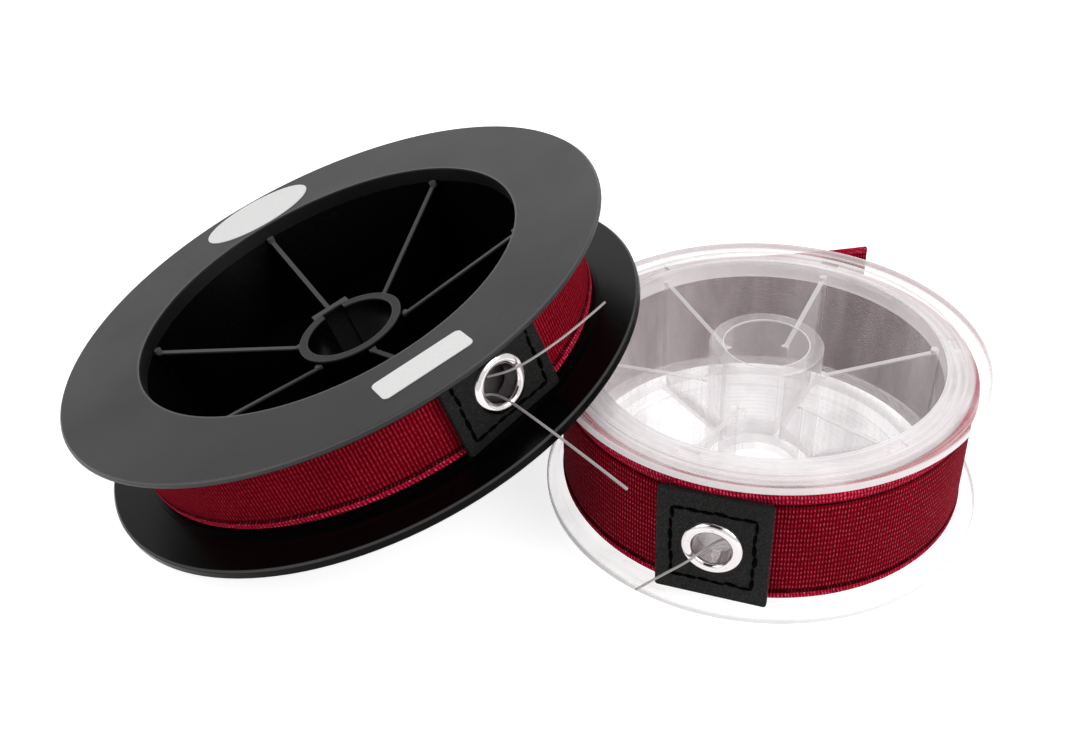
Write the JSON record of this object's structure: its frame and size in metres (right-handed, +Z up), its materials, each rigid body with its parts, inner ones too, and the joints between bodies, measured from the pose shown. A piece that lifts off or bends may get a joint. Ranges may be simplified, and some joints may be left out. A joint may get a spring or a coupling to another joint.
{
  "type": "fishing line winder",
  "caption": "Fishing line winders: ribbed spools of line, each kept tidy by an elastic band that turns round it, with a stitched patch and an eyelet the line is drawn through.",
  "frame": {"origin": "on the axis of the clear winder's hub bore, at its underside, where it stands on the floor", "axes": "+Z up along the clear winder's axis, -Y towards the front, where the patches and eyelets are, +X away from the black winder"},
  "size_m": [0.1491, 0.1064, 0.0478],
  "materials": {
    "clear_plastic": "clear moulded, polished",
    "black_plastic": "black moulded, satin top and glossy lower flange",
    "nylon_line": "clear drawn nylon",
    "red_elastic": "crimson woven elastic",
    "red_thread": "crimson sewing thread",
    "leatherette": "stiff black leatherette, matte",
    "black_thread": "black sewing thread",
    "nickel": "polished nickel",
    "white_paper": "bare white label paper"
  },
  "bodies": {
    "clear_spool": {"clear_lower_half": "clear_plastic", "clear_upper_flange": "clear_plastic", "clear_wound_line": "nylon_line"},
    "clear_keeper": {"clear_band": "red_elastic", "clear_tab_thread": "red_thread", "clear_patch": "leatherette", "clear_patch_thread": "black_thread", "clear_eyelet": "nickel", "clear_eyelet_washer": "nickel", "clear_line_tail": "nylon_line"},
    "black_spool": {"black_lower_half": "black_plastic", "black_upper_flange": "black_plastic", "black_wound_line": "nylon_line", "oval_label": "white_paper", "strip_label": "white_paper"},
    "black_keeper": {"black_band": "red_elastic", "black_tab_thread": "red_thread", "black_patch": "leatherette", "black_patch_thread": "black_thread", "black_eyelet": "nickel", "black_eyelet_washer": "nickel", "black_line_tail_long": "nylon_line", "black_line_tail_short": "nylon_line"}
  },
  "joints": [
    {"name": "clear_band_turn", "type": "hinge", "parent": "clear_spool", "child": "clear_keeper", "pos_m": [0, 0, 0], "axis": [0, 0, 1], "continuous": true},
    {"name": "black_spool_lift", "type": "slide", "parent": "clear_spool", "child": "black_spool", "axis": [0, 0, 1], "range_m": [0, 0.06]},
    {"name": "black_band_turn", "type": "hinge", "parent": "black_spool", "child": "black_keeper", "pos_m": [-0.06366, 0.01315, 0.01515], "axis": [-0.3213, 0, 0.947], "continuous": true}
  ]
}
